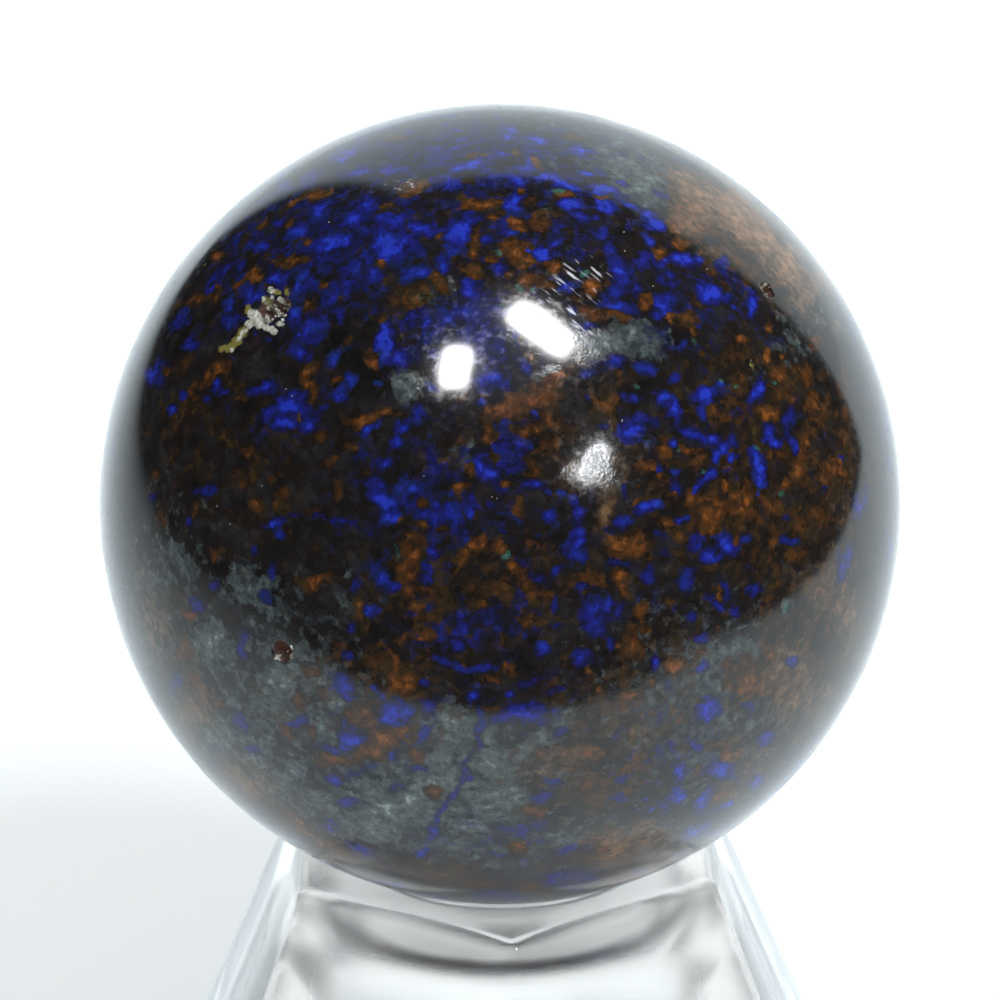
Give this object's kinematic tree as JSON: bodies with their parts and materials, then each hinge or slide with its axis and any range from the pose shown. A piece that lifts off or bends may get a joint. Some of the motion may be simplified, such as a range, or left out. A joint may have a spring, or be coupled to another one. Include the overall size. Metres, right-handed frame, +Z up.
{
  "type": "azurite sphere on a clear stand",
  "caption": "Polished ball of blue azurite in brown and rust matrix, resting in the shallow seat of a clear six-sided flared stand.",
  "frame": {"origin": "middle of the stand's foot, on the surface that it stands on", "axes": "+Z up through the middle of the stand and the stone, -Y towards the viewer and one corner of the stand, +X to the viewer's right"},
  "size_m": [0.045, 0.045, 0.0632],
  "materials": {
    "stone": "polished",
    "clear_plastic": "polished"
  },
  "bodies": {
    "root": {"azurite_sphere": "stone", "stand": "clear_plastic"}
  },
  "joints": []
}
